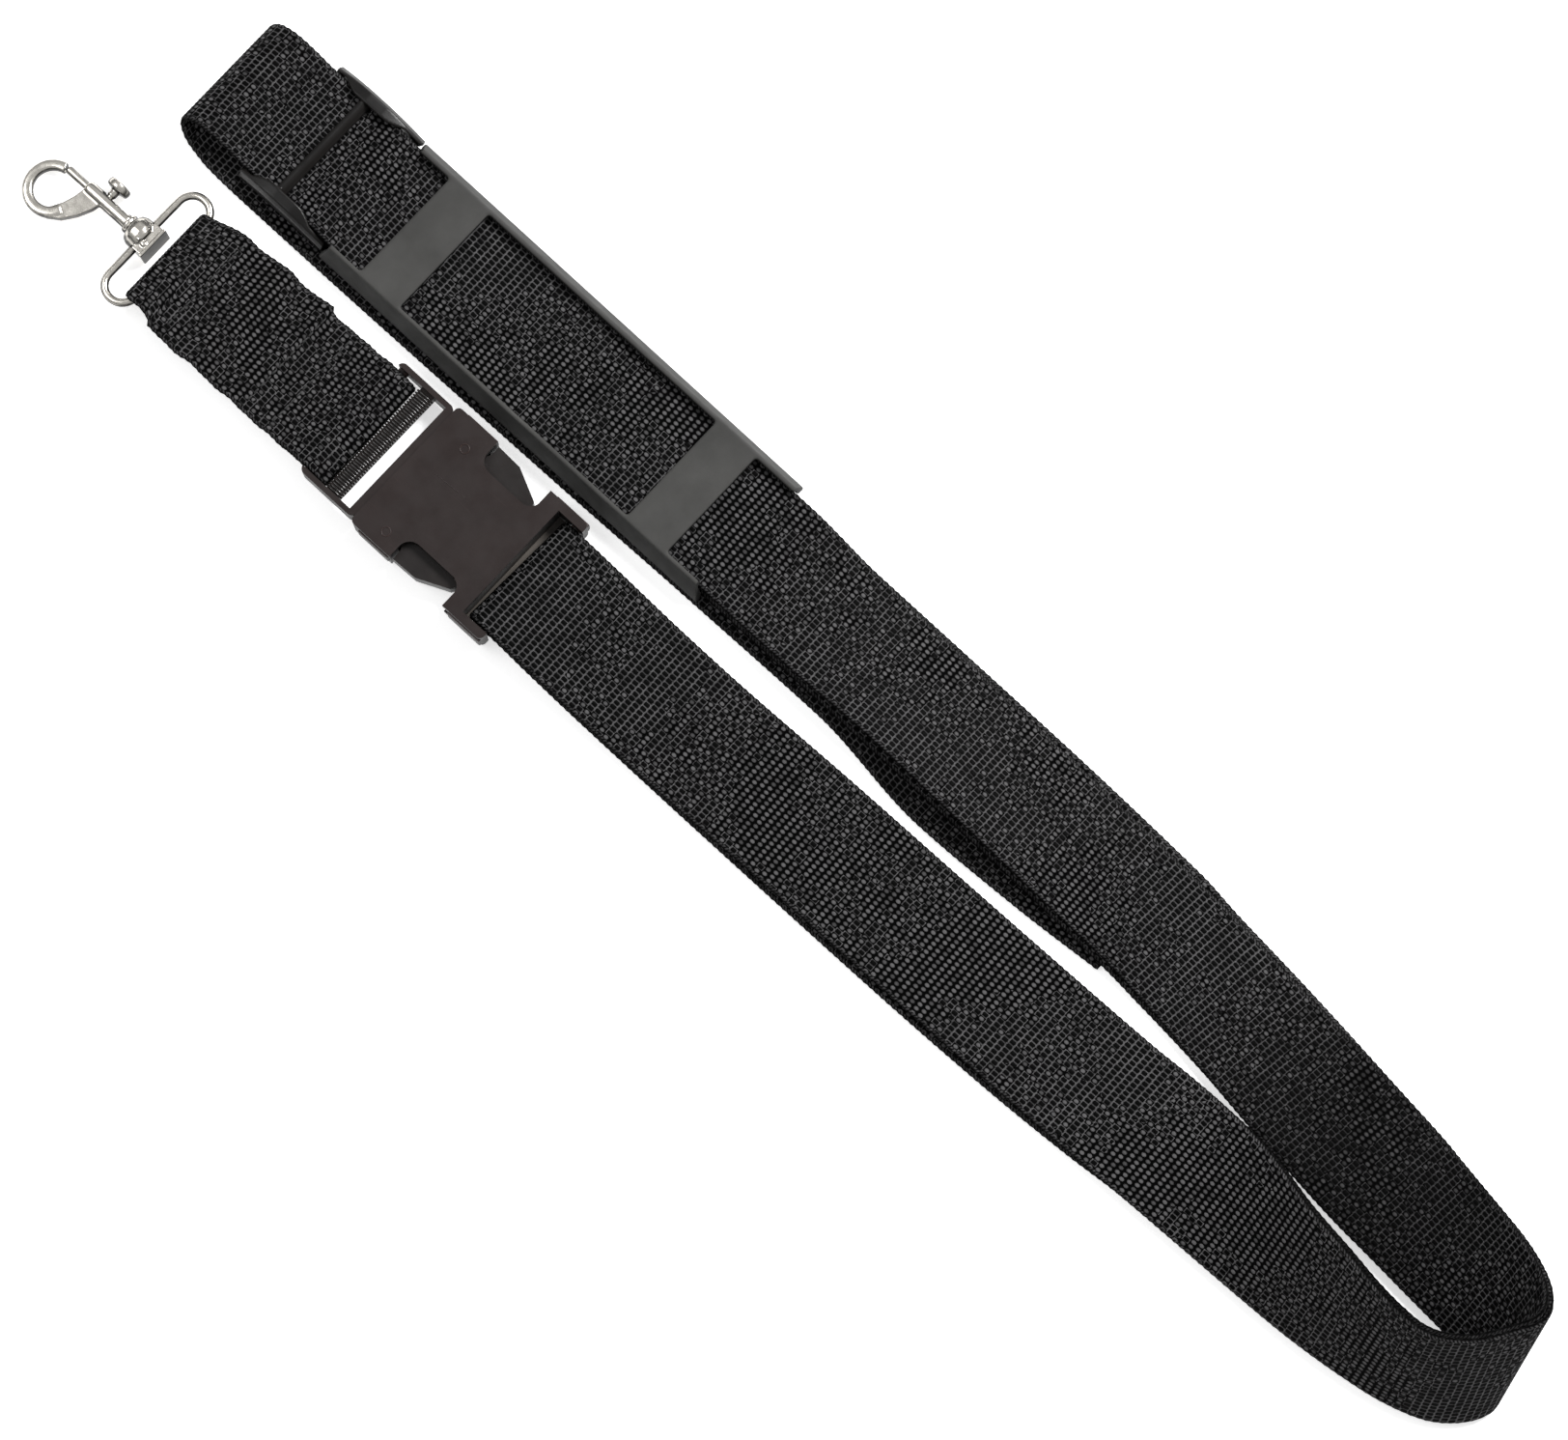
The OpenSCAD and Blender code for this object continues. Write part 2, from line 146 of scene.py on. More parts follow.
# ---------------------------------------------------------------- shader helpers
class Tree:
    """Short calls for one node tree."""

    def __init__(self, tree, material=None):
        self.tree, self.material = tree, material

    def add(self, kind, **props):
        made = self.tree.nodes.new(kind)
        for key, value in props.items():
            setattr(made, key, value)
        return made

    def link(self, output, socket):
        self.tree.links.new(output, socket)

    def out(self, kind):
        return next(n for n in self.tree.nodes if n.bl_idname.endswith(kind))

    @property
    def bsdf(self):
        return self.out("BsdfPrincipled")

    def put(self, socket, value):
        if isinstance(value, bpy.types.NodeSocket):
            self.link(value, socket)
        else:
            socket.default_value = value

    def set(self, **values):
        for name, value in values.items():
            self.bsdf.inputs[name].default_value = value

    def math(self, operation, a, b=0.0, c=0.0):
        made = self.add("ShaderNodeMath", operation=operation)
        for socket, value in zip(made.inputs, (a, b, c)):
            self.put(socket, value)
        return made.outputs[0]

    def split(self, vector):
        made = self.add("ShaderNodeSeparateXYZ")
        self.link(vector, made.inputs[0])
        return made.outputs

    def join(self, x=0.0, y=0.0, z=0.0):
        made = self.add("ShaderNodeCombineXYZ")
        for socket, value in zip(made.inputs, (x, y, z)):
            self.put(socket, value)
        return made.outputs[0]

    def object_coords(self):
        return self.add("ShaderNodeTexCoord").outputs["Object"]

    def attribute(self, name, output="Vector"):
        return self.add("ShaderNodeAttribute", attribute_name=name).outputs[output]

    def scaled(self, vector, factors):
        made = self.add("ShaderNodeVectorMath", operation="MULTIPLY")
        self.link(vector, made.inputs[0])
        made.inputs[1].default_value = factors
        return made.outputs[0]

    def noise(self, vector, scale, detail=4.0, roughness=0.55):
        made = self.add("ShaderNodeTexNoise")
        self.link(vector, made.inputs["Vector"])
        made.inputs["Scale"].default_value = scale
        made.inputs["Detail"].default_value = detail
        made.inputs["Roughness"].default_value = roughness
        return made.outputs["Fac"]

    def white(self, vector):
        made = self.add("ShaderNodeTexWhiteNoise", noise_dimensions="3D")
        self.link(vector, made.inputs["Vector"])
        return made.outputs["Value"]

    def ramp(self, value, stops):
        made = self.add("ShaderNodeValToRGB")
        self.link(value, made.inputs[0])
        marks = made.color_ramp.elements
        while len(marks) < len(stops):
            marks.new(1.0)
        for mark, (place, colour) in zip(marks, stops):
            mark.position, mark.color = place, (*colour, 1)
        return made.outputs["Color"]

    def span(self, value, low, high, to_low=0.0, to_high=1.0):
        made = self.add("ShaderNodeMapRange")
        self.link(value, made.inputs["Value"])
        for name, v in zip(("From Min", "From Max", "To Min", "To Max"), (low, high, to_low, to_high)):
            made.inputs[name].default_value = v
        return made.outputs["Result"]

    def mix(self, factor, a, b):
        made = self.add("ShaderNodeMix", data_type="RGBA")
        self.put(made.inputs[0], factor)
        for socket, value in zip(made.inputs[6:8], (a, b)):
            self.put(socket, value if isinstance(value, bpy.types.NodeSocket) else (*value, 1))
        return made.outputs[2]

    def fade(self, factor, a, b):
        made = self.add("ShaderNodeMix", data_type="FLOAT")
        self.put(made.inputs[0], factor)
        self.put(made.inputs[2], a)
        self.put(made.inputs[3], b)
        return made.outputs[0]

    def fold(self, value):
        """0 in the middle of each whole interval and 1 at its ends."""
        from_middle = self.math("SUBTRACT", self.math("FRACT", value), 0.5)
        return self.math("MULTIPLY", self.math("ABSOLUTE", from_middle), 2.0)

    def colour(self, socket):
        self.link(socket, self.bsdf.inputs["Base Color"])

    def rough(self, socket):
        self.link(socket, self.bsdf.inputs["Roughness"])

    def bump(self, height, distance, strength=1.0):
        """Raises the surface by up to distance metres where height is 1; several calls add up."""
        made = self.add("ShaderNodeBump")
        made.inputs["Strength"].default_value = strength
        made.inputs["Distance"].default_value = distance
        self.link(height, made.inputs["Height"])
        last = self.bsdf.inputs["Normal"]
        if last.links:
            self.link(last.links[0].from_socket, made.inputs["Normal"])
        self.link(made.outputs[0], last)


def new_material(name):
    material = bpy.data.materials.new(name)
    material.use_nodes = True
    return Tree(material.node_tree, material)


# ---------------------------------------------------------------- materials
def webbing_material(name, crown, gap):
    """Woven polypropylene. Its floats lie like bricks in a wall, read from each strap's own length and
    width. Their light is painted into the colour: in some stretches the crowns of the floats get a painted
    highlight and in others their outlines do, with painted glints of the fibres."""
    tree = new_material(name)
    place = tree.attribute("strap")
    s, v, bias = tree.split(place)
    along = tree.math("DIVIDE", s, ROW)
    row = tree.math("FLOOR", along)
    shift = tree.math("MULTIPLY", tree.math("MODULO", row, 2.0), 0.5)
    across = tree.math("ADD", tree.math("DIVIDE", v, FLOAT), shift)
    u, w = tree.fold(along), tree.fold(across)
    chance = tree.white(tree.join(row, tree.math("FLOOR", across)))
    fibres = tree.noise(tree.scaled(place, (0.9, 7.0, 1.0)), 1.0, detail=3)
    frayed = tree.math("ADD", tree.math("MULTIPLY", w, 0.2), tree.span(fibres, 0.3, 0.7, -0.08, 0.08))
    row_line = tree.span(tree.math("ADD", u, frayed), 0.78, 1.0, 0.0, 0.9)
    side_line = tree.math("MULTIPLY", tree.span(w, 0.68, 0.92), 0.55)
    net = tree.math("MAXIMUM", row_line, side_line)
    reach = tree.math("ADD", tree.math("POWER", tree.math("DIVIDE", u, 0.76), 2.0),
                      tree.math("POWER", tree.math("DIVIDE", w, 0.8), 2.0))
    dot = tree.span(reach, 0.2, 1.0, 0.9, 0.0)
    drift = tree.math("ADD", tree.noise(tree.object_coords(), 17, detail=2), bias)
    crowned = tree.math("LESS_THAN", tree.white(tree.join(tree.math("FLOOR", across), row)),
                        tree.span(drift, 0.38, 0.64))
    weave = tree.fade(crowned, net, dot)
    from_edge = tree.math("SUBTRACT", WEB_W / 2, tree.math("ABSOLUTE", v))
    braid = tree.fold(tree.math("ADD", tree.math("DIVIDE", s, STEP), tree.math("MULTIPLY", from_edge, 0.7)))
    selvage = tree.math("MULTIPLY", tree.span(braid, 0.2, 0.7), tree.span(from_edge, 0.1, 0.5, 0.0, 0.5))
    seen = tree.fade(tree.span(from_edge, 0.8, 1.1), selvage, weave)
    # Painted glints: bright specks of fibre highlight painted into the colour.
    glint = tree.span(tree.noise(tree.scaled(place, (2.6, 6.0, 1.0)), 1.0, detail=1), 0.7, 0.78, 1.0, 2.2)
    fibre_tone = tree.span(fibres, 0.3, 0.7, 0.65, 1.3)
    uneven = tree.math("MULTIPLY", tree.span(chance, 0, 1, 0.5, 1.4), fibre_tone)
    shine = tree.math("MULTIPLY", tree.math("MULTIPLY", seen, uneven), glint)
    # Painted light and shade along each strap, from its attribute.
    shine = tree.math("MULTIPLY", shine, tree.attribute("painted_light_and_shade", "Fac"))
    # The crown colour is a painted highlight on the black yarn; the gap colour is the yarn's own black.
    tree.colour(tree.mix(shine, gap, crown))
    tree.rough(tree.span(reach, 0.2, 1.2, 0.55, 0.85))
    tree.set(**{"Specular IOR Level": 0.04})
    rise = tree.math("ADD", tree.math("POWER", u, 4.0), tree.math("POWER", w, 2.5))
    dome = tree.span(rise, 0.0, 1.3, 1.0, 0.0)
    tree.bump(fibres, 0.00005, 0.6)
    tree.bump(dome, 0.00025, 0.8)
    return tree.material


def moulded_material(name, base, rough, grain=0.00002, scratches=0.0, specular=0.3, painted_light=0.5):
    """Moulded plastic or rubber: slightly uneven colour and gloss over a fine grain, with a painted
    highlight on its bevels and painted shade on its steep sides.
    """
    tree = new_material(name)
    place = tree.object_coords()
    cloud = tree.noise(place, 60, detail=5)
    fine = tree.noise(place, 2600, detail=3)
    darker, lighter = (tuple(c * k for c in base) for k in (0.82, 1.2))
    tone = tree.ramp(cloud, [(0.3, darker), (0.7, lighter)])
    if scratches:
        streaks = tree.noise(tree.scaled(place, (60, 900, 200)), 1.0, detail=2)
        marks = tree.span(streaks, 0.68, 0.74)
        scratched = tuple(min(1, c * 2.2) for c in base)
        tone = tree.mix(tree.math("MULTIPLY", marks, scratches), tone, scratched)
    facing = tree.math("ABSOLUTE", tree.split(tree.add("ShaderNodeTexCoord").outputs["Normal"])[2])
    # Painted highlight: bevels, half turned up, are painted lighter, as strongly as the painted light
    # argument asks.
    painted_rim_highlight = tree.math("MULTIPLY", tree.span(facing, 0.35, 0.6), tree.span(facing, 0.8, 0.97, 1.0, 0.0))
    tone = tree.mix(tree.math("MULTIPLY", painted_rim_highlight, painted_light), tone, tuple(c * 4 for c in base))
    # Painted shade: steep sides are painted darker.
    tone = tree.mix(tree.span(facing, 0.15, 0.4), tuple(c * 0.25 for c in base), tone)
    tree.colour(tone)
    patch = tree.noise(place, 140, detail=4)
    tree.rough(tree.span(patch, 0.3, 0.7, rough - 0.07, rough + 0.08))
    tree.set(**{"Specular IOR Level": specular})
    tree.bump(fine, grain, 0.7)
    tree.bump(cloud, 0.00008, 0.25)
    return tree.material


def metal_material(name, base, rough, painted_side_shade=0.3):
    """Nickel plate over a casting, with painted reflections: faces turned up are light, turned-down sides
    and corners are painted dark, along a ragged, cloudy border.
    """
    tree = new_material(name)
    place = tree.object_coords()
    cloud = tree.noise(place, 220, detail=4)
    facing = tree.math("ABSOLUTE", tree.split(tree.add("ShaderNodeTexCoord").outputs["Normal"])[2])
    ragged = tree.math("ADD", facing, tree.span(cloud, 0.3, 0.7, -0.12, 0.12))
    # Painted reflection: faces turned up are painted light and steep sides painted dark.
    light = tree.span(ragged, 0.5, 0.78)
    tree.colour(tree.mix(light, tuple(c * painted_side_shade for c in base), base))
    tree.rough(tree.span(tree.noise(place, 500, detail=3), 0.3, 0.7, rough - 0.05, rough + 0.08))
    tree.set(Metallic=1.0)
    tree.bump(cloud, 0.00006, 0.3)
    return tree.material


def thread_material():
    """Black sewing thread, twisted."""
    tree = new_material("black_thread")
    place = tree.object_coords()
    ply = tree.noise(tree.scaled(place, (2600, 900, 2600)), 1.0, detail=2)
    tree.colour(tree.ramp(ply, [(0.35, (0.006,) * 3), (0.7, (0.03,) * 3)]))
    tree.rough(tree.span(ply, 0.3, 0.7, 0.4, 0.65))
    tree.bump(ply, 0.00008)
    return tree.material


# ---------------------------------------------------------------- mesh helpers
def add_object(name, mesh):
    obj = bpy.data.objects.new(name, mesh)
    bpy.context.scene.collection.objects.link(obj)
    return obj


def to_frame(points):
    """Lay-out millimetres to row-frame metres."""
    return (np.asarray(points, float) - ORIGIN) * MM


def make_mesh(name, points, faces, smooth=True):
    mesh = bpy.data.meshes.new(name)
    mesh.from_pydata([tuple(p) for p in points], [], [tuple(f) for f in faces])
    mesh.polygons.foreach_set("use_smooth", [smooth] * len(mesh.polygons))
    mesh.update()
    return mesh


def grid_mesh(name, xs, ys):
    points = [(x, y, 0) for x in xs for y in ys]
    n = len(ys)
    faces = [(i * n + j, (i + 1) * n + j, (i + 1) * n + j + 1, i * n + j + 1)
             for i in range(len(xs) - 1) for j in range(n - 1)]
    return make_mesh(name, points, faces)


# ---------------------------------------------------------------- strap routes
def flat(x, y, z, w=WEB_W):
    """A station of a level strap: where its two edges cross one line across it."""
    return [[x, y - w / 2, z], [x, y + w / 2, z]]


def rounded_route(route, steps):
    """Catmull-Rom stations between the given ones."""
    r = np.array(route, float)
    out = []
    for i in range(len(r) - 1):
        a, b, c, d = r[max(i - 1, 0)], r[i], r[i + 1], r[min(i + 2, len(r) - 1)]
        for t in np.arange(steps) / steps:
            out.append((2 * b + (c - a) * t + (2 * a - 5 * b + 4 * c - d) * t**2
                        + (3 * b - a - 3 * c + d) * t**3) / 2)
    return np.array(out + [r[-1]])


def directions(r):
    """The unit direction along each station's middle, and the unit normal of its face."""
    middle = r.mean(axis=1)
    along = np.gradient(middle, axis=0)
    along /= np.linalg.norm(along, axis=1)[:, None]
    face = np.cross(along, r[:, 1] - r[:, 0])
    return along, face / np.linalg.norm(face, axis=1)[:, None]


FRONT_TOP = [flat(-80, -21.4, 8.65), flat(-77, -21.4, 8.65), flat(-62, -21.5, 7.6),
             flat(-40, -21.6, 4.6), flat(-15, -21.4, 2.8), flat(30, -20.2, MID), flat(80, -19.3, MID),
             flat(120, -18.4, MID), [[150, -37.5, MID], [150, 2.5, 2.9]]]
FRONT_UNDER = [flat(-80, -21.4, 3.35), flat(-77, -21.4, 3.35), flat(-62, -21.7, 2.4),
               flat(-40, -21.9, 1.3), flat(-15, -21.9, LOW), flat(30, -21.7, LOW), flat(80, -21.2, LOW),
               flat(120, -20.1, LOW), [[150, -38.3, LOW], [150, 1.7, 1]]]
BIGHT = [[[150, -37.5, MID], [150, 2.5, 2.9]], [[170, -36.6, 2.9], [170, 3.2, 6.5]],
         [[194, -35.7, 2.9], [192, 1.5, 15]], [[217, -34.8, 2.8], [212, -3.6, 24]],
         [[234, -33.8, 2.7], [229, -6.2, 27.5]], [[251, -31.8, 2.6], [245.5, -8.6, 30]],
         [[266.8, -28.8, 2.4], [260.6, -8.2, 31]], [[280.2, -23.6, 2.3], [271.6, -1.2, 30]],
         [[289, -15.2, 2.1], [278.9, 9.2, 28.5]], [[291, -7.2, 1.6], [283.3, 18.5, 28.5]],
         [[284.6, -2.4, 1], [279, 26.4, 24]], [[269.8, -1.4, 1], [267.4, 32, 17.5]],
         [[250, -0.9, 1], [251.4, 35.8, 9.5]], [[225, 0.1, 1], [230, 39.6, 3.2]]]
BACK_UNDER = [BIGHT[-1], [[195, 2.9, LOW], [200, 43, 1]], [[165, 6.5, LOW], [168, 46, LOW]],
              [[138, 8.6, LOW], [141, 48, LOW]], [[122, 9.4, MID], [124, 49.4, MID]],
              flat(60, 30.5, MID), flat(-40, 30.5, MID), flat(-180, 30.8, MID),
              flat(-190, 31.6, MID, HEM_W), flat(RIGHT_BAR_X, SLIDER_Y, MID, HEM_W)]
BACK_TOP = [[[195, 2.6, 2.8], [200, 42.4, 3]], [[160, 7, 2.9], [165, 44.6, 2.9]],
            [[138, 9.8, 3.6], [141, 46.6, 3.4]], [[118, 11, 5.6], [120, 47.2, 4.7]],
            [[100, 11.2, 7], [100, 47.8, 4.7]], [[60, 11.6, 10], [60, 48.6, 4.8]],
            [[25, 11.8, 12], [25, 49.2, 5]], [[-8, 11, 10.4], [-8, 50, 6.4]], flat(-33, 31, 8.4),
            flat(-180, 31, 8.4), flat(-190, 31.3, 8.7), flat(-194, 31.5, 8.85)]
SLIDER_WAVE = [flat(-194, 31.5, 8.85), flat(-197.5, 31.8, 8.9), flat(-203, 32, 7.9),
               flat(-208, 32, 6.9), flat(-213, 32, 6.7), flat(-218, 32, 6.9), flat(-223, 32, 7.2),
               flat(-229, 32, 7.2)]
END_BIGHT = [flat(-229, 32, 7.2), flat(-230.5, 32, 7.4), flat(-236, 32, 9.4), flat(-243, 31.8, 10.6),
             flat(-248.7, 31, 9), flat(-251.4, 29.6, 5.6), flat(-250, 28, 2.4),
             flat(-246, 26.4, 1), flat(-238, 25, LOW)]
TAIL = [flat(-238, 25, LOW), flat(-225, 24.6, LOW), flat(-100, 25.8, LOW), flat(-40, 27, LOW),
        flat(9, 27.6, LOW), flat(53, 23.6, LOW), flat(90, 25.2, LOW), flat(121, 27.9, LOW)]
FIXED_END = [flat(-181.5, SLIDER_Y, 4.3, HEM_W), flat(-187, SLIDER_Y, 4.4, HEM_W),
             flat(-191.5, SLIDER_Y, 5.6, HEM_W), flat(RIGHT_BAR_X, SLIDER_Y, 7.15, HEM_W)]


def half_turn(x, y, z, w, radius, reach_left, reach_right, steps=10):
    """Stations of a fold round a bar, from its top over its -X side to its bottom. Each edge has
    its own reach."""
    out = []
    for angle in np.linspace(math.pi / 2, 1.5 * math.pi, steps + 1)[1:-1]:
        c, s = math.cos(angle), math.sin(angle)
        out.append([[x + c * reach_left, y - w / 2, z + radius * s],
                    [x + c * reach_right, y + w / 2, z + radius * s]])
    return out


def long_strap_legs():
    """The whole strap in order, from its sewn end to its cut end, as piece, CAD nodes, painted light and
    shade (float brightness against lay-out X) and stations."""
    outer = rounded_route(BIGHT, 3)
    _, face = directions(outer)
    inner = (outer - LAYER * face[:, None])[3:]
    socket_fold = half_turn(SOCKET_BAR_X, BUCKLE_Y, BUCKLE_Z, WEB_W, 2.65, 5.0, 3.4)
    bar_fold = half_turn(RIGHT_BAR_X, SLIDER_Y, RIGHT_BAR_Z, HEM_W, 2.25, 2.25, 2.25)
    under_bar = 4  # stations of the slider's wave before its centre bar
    return [
        ("strap_outer_run",
         ["webbing_fixed_end", "webbing_back_under", "webbing_bight_outer", "webbing_front_top",
          "webbing_socket_fold"],
         # Painted light: the outer run's floats are painted brighter towards the outside of the loop.
         ((0, 1.0), (230, 1.25)),
         FIXED_END + bar_fold + BACK_UNDER[::-1] + list(outer[-2::-1]) + FRONT_TOP[-2::-1] + socket_fold),
        ("strap_inner_run",
         ["webbing_front_under", "webbing_bight_inner", "webbing_back_top", "webbing_slider_wave"],
         # Painted shade: the inner run is painted darker inside the loop, where the front leg shades it.
         ((150, 1), (200, 0.4), (245, 0.42), (285, 0.85)),
         FRONT_UNDER + list(inner) + BACK_TOP + SLIDER_WAVE[1:under_bar + 1]),
        ("strap_end_loop_and_tail", ["webbing_end_bight", "webbing_tail"],
         ((-252, 1), (-251, 1)),
         SLIDER_WAVE[under_bar + 1:] + list(rounded_route(END_BIGHT, 3))[1:] + TAIL[1:]),
    ]


# ---------------------------------------------------------------- webbing meshes
def shape_preserving(t, y, at):
    """Cubic interpolation that never overshoots, for columns y at places t."""
    h, d = np.diff(t)[:, None], np.diff(y, axis=0) / np.diff(t)[:, None]
    m = np.zeros_like(y)
    w1, w2 = 2 * h[1:] + h[:-1], h[1:] + 2 * h[:-1]
    same = d[:-1] * d[1:] > 0
    with np.errstate(divide="ignore", invalid="ignore"):
        inner = (w1 + w2) / (w1 / d[:-1] + w2 / d[1:])
    m[1:-1] = np.where(same, inner, 0)
    m[0], m[-1] = d[0], d[-1]
    i = np.clip(np.searchsorted(t, at, side="right") - 1, 0, len(t) - 2)
    u, hi = ((at - t[i]) / (t[i + 1] - t[i]))[:, None], h[i]
    return (y[i] * (1 + 2 * u) * (1 - u) ** 2 + hi * m[i] * u * (1 - u) ** 2
            + y[i + 1] * u**2 * (3 - 2 * u) + hi * m[i + 1] * u**2 * (u - 1))


def evenly(stations, step=STEP):
    """Sections every step along the route, and the distance along it of each given station."""
    r = np.array(stations, float)
    chord = np.r_[0, np.cumsum(np.linalg.norm(np.diff(r, axis=0), axis=2).mean(axis=1))]
    fine = np.linspace(0, chord[-1], int(chord[-1] / 0.2))
    dense = shape_preserving(chord, r.reshape(len(r), 6), fine)
    middle = dense.reshape(-1, 2, 3).mean(axis=1)
    length = np.r_[0, np.cumsum(np.linalg.norm(np.diff(middle, axis=0), axis=1))]
    rows = np.arange(int(length[-1] / step) + 1) * step
    sections = np.stack([np.interp(rows, length, dense[:, k]) for k in range(6)], axis=1)
    return sections.reshape(-1, 2, 3), rows, np.interp(chord, fine, length)


def strap_mesh(name, sections, face, rows, painted_light_and_shade=((0, 1), (1, 1)), width=WEB_W, dotted=0.0):
    """A closed strip through the sections, with a float standing at every second crossing of the weave.
    The painted light and shade argument gives how bright its floats are painted at some lay-out X, and
    dotted how much more of it than usual shows the floats' crowns with a painted highlight."""
    columns = int(round(2 * width / FLOAT))
    v = np.linspace(-1, 1, columns + 1)
    edge = np.clip((np.abs(v) - (1 - 2.2 / columns)) * columns / 2.2, 0, 1)
    half = WEB_T / 2 * np.sqrt(1 - 0.9 * edge**2)
    n, m = len(rows), len(v)
    left, right = sections[:, 0], sections[:, 1]
    middle, across = (left + right) / 2, (right - left) / 2
    index = np.round(rows / STEP).astype(int)[:, None]
    crown = ((index - 1) // 2 + np.arange(m)[None, :]) % 2 == 0
    relief = RELIEF * (1 - 0.6 * edge) * np.where(index % 2 == 0, -0.6, np.where(crown, 1.0, -0.7))
    scallop = 1 + 0.006 * (2 * (index % 2) - 1) * edge[None, :] ** 3
    base = middle[:, None] + across[:, None] * (v[None, :] * scallop)[..., None]
    top = base + (half[None, :] + relief)[..., None] * face[:, None]
    bottom = base - (half[None, :] - relief)[..., None] * face[:, None]
    points = to_frame(np.concatenate([top, bottom[:, ::-1]], axis=1).reshape(-1, 3))
    ring = 2 * m
    i, k = np.meshgrid(np.arange(n - 1), np.arange(ring), indexing="ij")
    a, b = i * ring + k, i * ring + (k + 1) % ring
    sides = np.stack([a, a + ring, b + ring, b], axis=-1).reshape(-1, 4)
    j = np.arange(m - 1)
    cap = np.stack([j, j + 1, ring - 2 - j, ring - 1 - j], axis=-1)
    end = cap[:, ::-1] + (n - 1) * ring
    mesh = make_mesh(name, points, np.concatenate([sides, cap, end]).tolist())
    across_mm = v * width / 2
    where = np.zeros((n, ring, 3))
    where[..., 0] = rows[:, None]
    where[..., 1] = np.r_[across_mm, across_mm[::-1]][None, :]
    # Steeper stretches are painted with more lit crowns, a painted highlight that follows how light falls
    # on them.
    where[..., 2] = (dotted + 0.12 * (1 - np.abs(face[:, 2])))[:, None]
    layer = mesh.attributes.new("strap", "FLOAT_VECTOR", "POINT")
    layer.data.foreach_set("vector", where.astype(np.float32).ravel())
    # The painted light and shade along the strap, a factor on its floats' brightness.
    layer = mesh.attributes.new("painted_light_and_shade", "FLOAT", "POINT")
    painted_light = np.interp(middle[:, 0], *zip(*painted_light_and_shade))
    layer.data.foreach_set("value", np.repeat(painted_light, ring).astype(np.float32))
    ends = set(range(ring)) | set(range((n - 1) * ring, n * ring))
    mesh.edges.foreach_set("use_edge_sharp", [set(e.vertices) <= ends for e in mesh.edges])
    return mesh


def long_strap(material):
    """The strap in three runs whose joins are out of sight."""
    legs = long_strap_legs()
    sections, rows, reached = evenly([s for *_, leg in legs for s in leg])
    _, face = directions(sections)
    last = np.cumsum([len(leg) for *_, leg in legs]) - 1
    cuts = [0] + [int(round(reached[i] / STEP)) for i in last[:-1]] + [len(rows) - 1]
    for (name, nodes, painted_light_and_shade, _), a, b in zip(legs, cuts[:-1], cuts[1:]):
        part = slice(a, b + 1)
        obj = add_object(name, strap_mesh(name, sections[part], face[part], rows[part], painted_light_and_shade))
        obj.data.materials.append(material)
        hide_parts(*nodes)
        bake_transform(obj)
        print(f"{name}: {rows[b] - rows[a]:.1f} mm")


def edges(stations):
    """Stations of a level strap from each one's X, the Y of its two edges and its height."""
    return [[[x, low, z], [x, high, z]] for x, low, high, z in stations]


def short_strap(material):
    """The short strap: one length folded round the wire loop and the plug's bar, narrower at the loop."""
    top = [(-220, -40.2, -4.9, 8.3), (-216.6, -41.3, -3.6, 7.7), (-215.2, -42.9, -3.2, 7.4),
           (-206, -42.9, -2.7, 6.5), (-196, -42.3, -1.6, 6.1), (-188, -42.4, -1.9, 6.0),
           (-178.8, -42.1, -0.9, 5.95), (-177.4, -42.1, -2.1, 6.1), (-170, -42.3, -2.3, 6.3),
           (-162, -41.9, -1.9, 6.5), (-156, -41.8, -1.8, 7.6), (PLUG_BAR_X, -41.8, -1.9, 8.65)]
    under = [(PLUG_BAR_X, -41.6, -2.2, 3.35), (-162, -41.6, -2.2, 4.6), (-190, -42, -2, 4.15),
             (-212, -42, -4, 4.9), (-220, -40, -5.5, 5.0), (LOOP_X, -38.7, -7.5, 4.5)]
    loop_fold = [[[LOOP_X + 2.3 * math.cos(a), HOOK_Y - k, LOOP_Z + 2.15 * math.sin(a)],
                  [LOOP_X + 2.3 * math.cos(a), HOOK_Y + k, LOOP_Z + 2.15 * math.sin(a)]]
                 for a, k in zip(np.radians(range(-108, -260, -18)), np.linspace(15.6, 17.3, 9))]
    plug_fold = [[[PLUG_BAR_X + 6.3 * math.cos(a), -41.7, BUCKLE_Z + 2.65 * math.sin(a)],
                  [PLUG_BAR_X + 5.6 * math.cos(a), -1.9, BUCKLE_Z + 2.65 * math.sin(a)]]
                 for a in np.radians(range(72, -90, -18))]
    route = edges(under) + loop_fold + edges(top) + plug_fold
    sections, rows, _ = evenly(route)
    wave = np.sin(rows * 0.42) + 0.7 * np.sin(rows * 0.77 + 1)
    sections[:, 0, 1] += 0.16 * wave
    sections[:, 1, 1] -= 0.14 * np.roll(wave, 7)
    _, face = directions(sections)
    mesh = strap_mesh("short_strap_webbing", sections, face, rows, dotted=0.03)
    pucker(mesh, (-205, -8), (-195, -19.5), 0.9, 0.7)
    pucker(mesh, (-195, -19.5), (-186, -8), 0.9, 0.45)
    mesh.materials.append(material)
    obj = add_object("short_strap_webbing", mesh)
    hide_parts("short_strap")
    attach(obj, "short_strap")
    print(f"short strap: {rows[-1]:.1f} mm")


